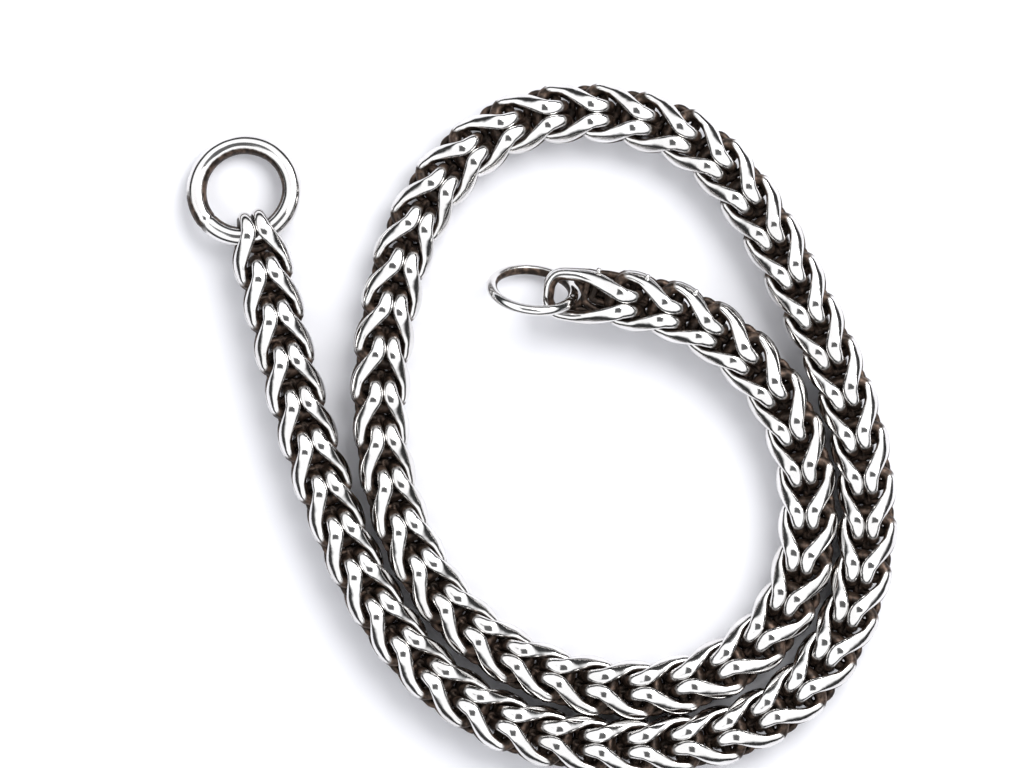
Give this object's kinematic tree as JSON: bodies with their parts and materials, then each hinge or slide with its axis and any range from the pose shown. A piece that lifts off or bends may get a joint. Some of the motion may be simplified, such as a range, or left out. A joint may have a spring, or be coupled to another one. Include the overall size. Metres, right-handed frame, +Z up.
{
  "type": "chain necklace",
  "caption": "Silver loop-in-loop (foxtail) chain laid in a loose flat spiral, with a large round ring at one end and a small ring at the other.",
  "frame": {"origin": "on the table, under the middle of the laid-out chain", "axes": "+X to the right and +Y up the layout as seen from above, +Z up from the table"},
  "size_m": [0.096, 0.0934, 0.0114],
  "materials": {
    "chain": "burnished silver with dark oxidised recesses",
    "big_ring": "burnished silver",
    "small_ring": "burnished silver, lightly oxidised"
  },
  "bodies": {
    "link_01": {"link_01": "chain"},
    "link_02": {"link_02": "chain"},
    "link_03": {"link_03": "chain"},
    "link_04": {"link_04": "chain"},
    "link_05": {"link_05": "chain"},
    "link_06": {"link_06": "chain"},
    "link_07": {"link_07": "chain"},
    "link_08": {"link_08": "chain"},
    "link_09": {"link_09": "chain"},
    "link_10": {"link_10": "chain"},
    "link_11": {"link_11": "chain"},
    "link_12": {"link_12": "chain"},
    "link_13": {"link_13": "chain"},
    "link_14": {"link_14": "chain"},
    "link_15": {"link_15": "chain"},
    "link_16": {"link_16": "chain"},
    "link_17": {"link_17": "chain"},
    "link_18": {"link_18": "chain"},
    "link_19": {"link_19": "chain"},
    "link_20": {"link_20": "chain"},
    "link_21": {"link_21": "chain"},
    "link_22": {"link_22": "chain"},
    "link_23": {"link_23": "chain"},
    "link_24": {"link_24": "chain"},
    "link_25": {"link_25": "chain"},
    "link_26": {"link_26": "chain"},
    "link_27": {"link_27": "chain"},
    "link_28": {"link_28": "chain"},
    "link_29": {"link_29": "chain"},
    "link_30": {"link_30": "chain"},
    "link_31": {"link_31": "chain"},
    "link_32": {"link_32": "chain"},
    "link_33": {"link_33": "chain"},
    "link_34": {"link_34": "chain"},
    "link_35": {"link_35": "chain"},
    "link_36": {"link_36": "chain"},
    "link_37": {"link_37": "chain"},
    "link_38": {"link_38": "chain"},
    "link_39": {"link_39": "chain"},
    "link_40": {"link_40": "chain"},
    "link_41": {"link_41": "chain"},
    "links_42_43": {"links_42_43": "chain"},
    "links_44_45": {"links_44_45": "chain"},
    "links_46_47": {"links_46_47": "chain"},
    "links_48_49": {"links_48_49": "chain"},
    "links_50_51": {"links_50_51": "chain"},
    "links_52_53": {"links_52_53": "chain"},
    "links_54_55": {"links_54_55": "chain"},
    "links_56_57": {"links_56_57": "chain"},
    "links_58_59": {"links_58_59": "chain"},
    "links_60_61": {"links_60_61": "chain"},
    "links_62_63": {"links_62_63": "chain"},
    "links_64_65": {"links_64_65": "chain"},
    "link_66": {"link_66": "chain"},
    "link_67": {"link_67": "chain"},
    "link_68": {"link_68": "chain"},
    "link_69": {"link_69": "chain"},
    "big_ring": {"big_ring": "big_ring"},
    "small_ring": {"small_ring": "small_ring"}
  },
  "joints": [
    {"name": "link_01_sway", "type": "hinge", "parent": "link_02", "child": "link_01", "pos_m": [-0.0377, 0.02241, 0.00404], "axis": [0, 0, 1], "range_deg": [-6, 12]},
    {"name": "link_02_lift", "type": "hinge", "parent": "link_03", "child": "link_02", "pos_m": [-0.03608, 0.01599, 0.00404], "axis": [0.9695, 0.2452, 0], "range_deg": [0, 4]},
    {"name": "link_03_sway", "type": "hinge", "parent": "link_04", "child": "link_03", "pos_m": [-0.0348, 0.01074, 0.00404], "axis": [0, 0, 1], "range_deg": [-6, 12]},
    {"name": "link_04_lift", "type": "hinge", "parent": "link_05", "child": "link_04", "pos_m": [-0.03312, 0.00434, 0.00404], "axis": [0.9677, 0.2521, 0], "range_deg": [0, 4]},
    {"name": "link_05_sway", "type": "hinge", "parent": "link_06", "child": "link_05", "pos_m": [-0.0316, -0.00084, 0.00404], "axis": [0, 0, 1], "range_deg": [-6, 12]},
    {"name": "link_06_lift", "type": "hinge", "parent": "link_07", "child": "link_06", "pos_m": [-0.02954, -0.00713, 0.00404], "axis": [0.9513, 0.3081, 0], "range_deg": [0, 4]},
    {"name": "link_07_sway", "type": "hinge", "parent": "link_08", "child": "link_07", "pos_m": [-0.02768, -0.0122, 0.00404], "axis": [0, 0, 1], "range_deg": [0, 12]},
    {"name": "link_08_lift", "type": "hinge", "parent": "link_09", "child": "link_08", "pos_m": [-0.02508, -0.01829, 0.00404], "axis": [0.9217, 0.388, 0], "range_deg": [0, 4]},
    {"name": "link_09_sway", "type": "hinge", "parent": "link_10", "child": "link_09", "pos_m": [-0.02255, -0.02307, 0.00404], "axis": [0, 0, 1], "range_deg": [0, 12]},
    {"name": "link_10_lift", "type": "hinge", "parent": "link_11", "child": "link_10", "pos_m": [-0.01894, -0.02862, 0.00404], "axis": [0.8429, 0.538, 0], "range_deg": [0, 4]},
    {"name": "link_11_sway", "type": "hinge", "parent": "link_12", "child": "link_11", "pos_m": [-0.01532, -0.03265, 0.00404], "axis": [0, 0, 1], "range_deg": [0, 12]},
    {"name": "link_12_lift", "type": "hinge", "parent": "link_13", "child": "link_12", "pos_m": [-0.01014, -0.03678, 0.00404], "axis": [0.6362, 0.7715, 0], "range_deg": [0, 4]},
    {"name": "link_13_sway", "type": "hinge", "parent": "link_14", "child": "link_13", "pos_m": [-0.00536, -0.03935, 0.00404], "axis": [0, 0, 1], "range_deg": [0, 12]},
    {"name": "link_14_lift", "type": "hinge", "parent": "link_15", "child": "link_14", "pos_m": [0.00085, -0.04165, 0.00404], "axis": [0.3621, 0.9321, 0], "range_deg": [0, 4]},
    {"name": "link_15_sway", "type": "hinge", "parent": "link_16", "child": "link_15", "pos_m": [0.00618, -0.0426, 0.00404], "axis": [0, 0, 1], "range_deg": [0, 12]},
    {"name": "link_16_lift", "type": "hinge", "parent": "link_17", "child": "link_16", "pos_m": [0.0128, -0.04302, 0.00404], "axis": [0.0752, 0.9972, 0], "range_deg": [0, 4]},
    {"name": "link_17_sway", "type": "hinge", "parent": "link_18", "child": "link_17", "pos_m": [0.01819, -0.04254, 0.00404], "axis": [0, 0, 1], "range_deg": [0, 12]},
    {"name": "link_18_lift", "type": "hinge", "parent": "link_19", "child": "link_18", "pos_m": [0.0247, -0.04131, 0.00404], "axis": [0.1743, -0.9847, 0], "range_deg": [0, 4]},
    {"name": "link_19_sway", "type": "hinge", "parent": "link_20", "child": "link_19", "pos_m": [0.02967, -0.03913, 0.00404], "axis": [0, 0, 1], "range_deg": [0, 12]},
    {"name": "link_20_lift", "type": "hinge", "parent": "link_21", "child": "link_20", "pos_m": [0.03513, -0.03535, 0.00404], "axis": [-0.5522, 0.8337, 0], "range_deg": [0, 4]},
    {"name": "link_21_sway", "type": "hinge", "parent": "link_22", "child": "link_21", "pos_m": [0.03854, -0.03111, 0.00404], "axis": [0, 0, 1], "range_deg": [0, 12]},
    {"name": "link_22_lift", "type": "hinge", "parent": "link_23", "child": "link_22", "pos_m": [0.04175, -0.0253, 0.00404], "axis": [0.866, -0.5001, 0], "range_deg": [0, 4]},
    {"name": "link_23_sway", "type": "hinge", "parent": "link_24", "child": "link_23", "pos_m": [0.04327, -0.02009, 0.00404], "axis": [0, 0, 1], "range_deg": [0, 12]},
    {"name": "link_24_lift", "type": "hinge", "parent": "link_25", "child": "link_24", "pos_m": [0.04422, -0.01353, 0.00404], "axis": [-0.9874, 0.1583, 0], "range_deg": [0, 4]},
    {"name": "link_25_sway", "type": "hinge", "parent": "link_26", "child": "link_25", "pos_m": [0.04406, -0.00811, 0.00404], "axis": [0, 0, 1], "range_deg": [0, 12]},
    {"name": "link_26_lift", "type": "hinge", "parent": "link_27", "child": "link_26", "pos_m": [0.04307, -0.00156, 0.00404], "axis": [0.9908, 0.1357, 0], "range_deg": [0, 4]},
    {"name": "link_27_sway", "type": "hinge", "parent": "link_28", "child": "link_27", "pos_m": [0.04157, 0.00364, 0.00404], "axis": [0, 0, 1], "range_deg": [0, 12]},
    {"name": "link_28_lift", "type": "hinge", "parent": "link_29", "child": "link_28", "pos_m": [0.03926, 0.00985, 0.00404], "axis": [-0.9402, -0.3406, 0], "range_deg": [0, 4]},
    {"name": "link_29_lift", "type": "hinge", "parent": "link_30", "child": "link_29", "pos_m": [0.03671, 0.01529, 0.00404], "axis": [-0.9122, -0.4098, 0], "range_deg": [0, 4]},
    {"name": "link_30_lift", "type": "hinge", "parent": "link_31", "child": "link_30", "pos_m": [0.03415, 0.02073, 0.00404], "axis": [0.9056, 0.4242, 0], "range_deg": [0, 4]},
    {"name": "link_31_lift", "type": "hinge", "parent": "link_32", "child": "link_31", "pos_m": [0.03131, 0.02603, 0.00404], "axis": [0.8861, 0.4635, 0], "range_deg": [0, 4]},
    {"name": "link_32_lift", "type": "hinge", "parent": "link_33", "child": "link_32", "pos_m": [0.02814, 0.03114, 0.00403], "axis": [-0.8563, -0.5165, 0], "range_deg": [0, 4]},
    {"name": "link_33_lift", "type": "hinge", "parent": "link_34", "child": "link_33", "pos_m": [0.02436, 0.03582, 0.00399], "axis": [-0.7926, -0.6098, 0], "range_deg": [0, 4]},
    {"name": "link_34_lift", "type": "hinge", "parent": "link_35", "child": "link_34", "pos_m": [0.01963, 0.03957, 0.00393], "axis": [0.6528, 0.7576, 0], "range_deg": [0, 4]},
    {"name": "link_35_lift", "type": "hinge", "parent": "link_36", "child": "link_35", "pos_m": [0.01397, 0.04178, 0.00386], "axis": [0.416, 0.9094, 0], "range_deg": [0, 4]},
    {"name": "link_36_lift", "type": "hinge", "parent": "link_37", "child": "link_36", "pos_m": [0.00804, 0.04292, 0.00381], "axis": [-0.2284, -0.9736, 0], "range_deg": [0, 4]},
    {"name": "link_37_lift", "type": "hinge", "parent": "link_38", "child": "link_37", "pos_m": [0.002, 0.04278, 0.00378], "axis": [-0.0204, -0.9998, 0], "range_deg": [0, 4]},
    {"name": "link_39_lift", "type": "hinge", "parent": "link_38", "child": "link_39", "pos_m": [-0.00386, 0.04129, 0.00378], "axis": [0.2022, -0.9794, 0], "range_deg": [0, 4]},
    {"name": "link_40_lift", "type": "hinge", "parent": "link_39", "child": "link_40", "pos_m": [-0.00906, 0.03816, 0.00378], "axis": [-0.4663, 0.8846, 0], "range_deg": [0, 4]},
    {"name": "link_41_lift", "type": "hinge", "parent": "link_40", "child": "link_41", "pos_m": [-0.01334, 0.03388, 0.00381], "axis": [-0.6701, 0.7422, 0], "range_deg": [0, 4]},
    {"name": "links_42_43_lift", "type": "hinge", "parent": "link_41", "child": "links_42_43", "pos_m": [-0.01658, 0.02877, 0.00386], "axis": [0.8193, -0.5733, 0], "range_deg": [0, 4]},
    {"name": "links_44_45_lift", "type": "hinge", "parent": "links_42_43", "child": "links_44_45", "pos_m": [-0.02035, 0.01735, 0.00399], "axis": [0.9608, -0.2774, 0], "range_deg": [0, 4]},
    {"name": "links_46_47_lift", "type": "hinge", "parent": "links_44_45", "child": "links_46_47", "pos_m": [-0.02187, 0.00543, 0.00404], "axis": [-0.9954, 0.0963, 0], "range_deg": [0, 4]},
    {"name": "links_48_49_lift", "type": "hinge", "parent": "links_46_47", "child": "links_48_49", "pos_m": [-0.02078, -0.00654, 0.00404], "axis": [-0.992, -0.1259, 0], "range_deg": [0, 4]},
    {"name": "links_50_51_lift", "type": "hinge", "parent": "links_48_49", "child": "links_50_51", "pos_m": [-0.01656, -0.01779, 0.00404], "axis": [0.9209, 0.3897, 0], "range_deg": [0, 4]},
    {"name": "links_52_53_lift", "type": "hinge", "parent": "links_50_51", "child": "links_52_53", "pos_m": [-0.00916, -0.02724, 0.00404], "axis": [0.7484, 0.6632, 0], "range_deg": [0, 4]},
    {"name": "links_54_55_lift", "type": "hinge", "parent": "links_52_53", "child": "links_54_55", "pos_m": [0.00127, -0.03321, 0.00404], "axis": [-0.4457, -0.8952, 0], "range_deg": [0, 4]},
    {"name": "links_56_57_lift", "type": "hinge", "parent": "links_54_55", "child": "links_56_57", "pos_m": [0.0131, -0.0353, 0.00404], "axis": [-0.1212, -0.9926, 0], "range_deg": [0, 4]},
    {"name": "links_58_59_lift", "type": "hinge", "parent": "links_56_57", "child": "links_58_59", "pos_m": [0.02472, -0.03226, 0.00404], "axis": [-0.3225, 0.9466, 0], "range_deg": [0, 4]},
    {"name": "links_60_61_lift", "type": "hinge", "parent": "links_58_59", "child": "links_60_61", "pos_m": [0.03331, -0.02389, 0.00404], "axis": [-0.7561, 0.6544, 0], "range_deg": [0, 4]},
    {"name": "links_62_63_lift", "type": "hinge", "parent": "links_60_61", "child": "links_62_63", "pos_m": [0.03621, -0.01221, 0.00404], "axis": [0.9857, -0.1683, 0], "range_deg": [0, 4]},
    {"name": "links_64_65_lift", "type": "hinge", "parent": "links_62_63", "child": "links_64_65", "pos_m": [0.03431, -0.00034, 0.00416], "axis": [0.9771, 0.2126, 0], "range_deg": [0, 4]},
    {"name": "link_66_lift", "type": "hinge", "parent": "links_64_65", "child": "link_66", "pos_m": [0.02784, 0.00976, 0.0048], "axis": [0.8008, 0.5989, 0], "range_deg": [0, 4]},
    {"name": "link_67_sway", "type": "hinge", "parent": "link_66", "child": "link_67", "pos_m": [0.02357, 0.01311, 0.00515], "axis": [0.0468, -0.0405, 0.9981], "range_deg": [-6, 12]},
    {"name": "link_68_lift", "type": "hinge", "parent": "link_67", "child": "link_68", "pos_m": [0.01768, 0.01617, 0.00552], "axis": [0.4784, 0.8782, 0], "range_deg": [0, 4]},
    {"name": "link_69_sway", "type": "hinge", "parent": "link_68", "child": "link_69", "pos_m": [0.01237, 0.01738, 0.00572], "axis": [0.04, -0.0113, 0.9991], "range_deg": [-6, 12]},
    {"name": "big_ring_swing", "type": "hinge", "parent": "link_01", "child": "big_ring", "pos_m": [-0.0387, 0.02625, 0.00404], "axis": [0.968, 0.251, 0], "range_deg": [0, 90]},
    {"name": "small_ring_swing", "type": "hinge", "parent": "link_69", "child": "small_ring", "pos_m": [0.00433, 0.01822, 0.00584], "axis": [-0.0459, -0.5132, 0.8571], "range_deg": [-30, 30]}
  ]
}
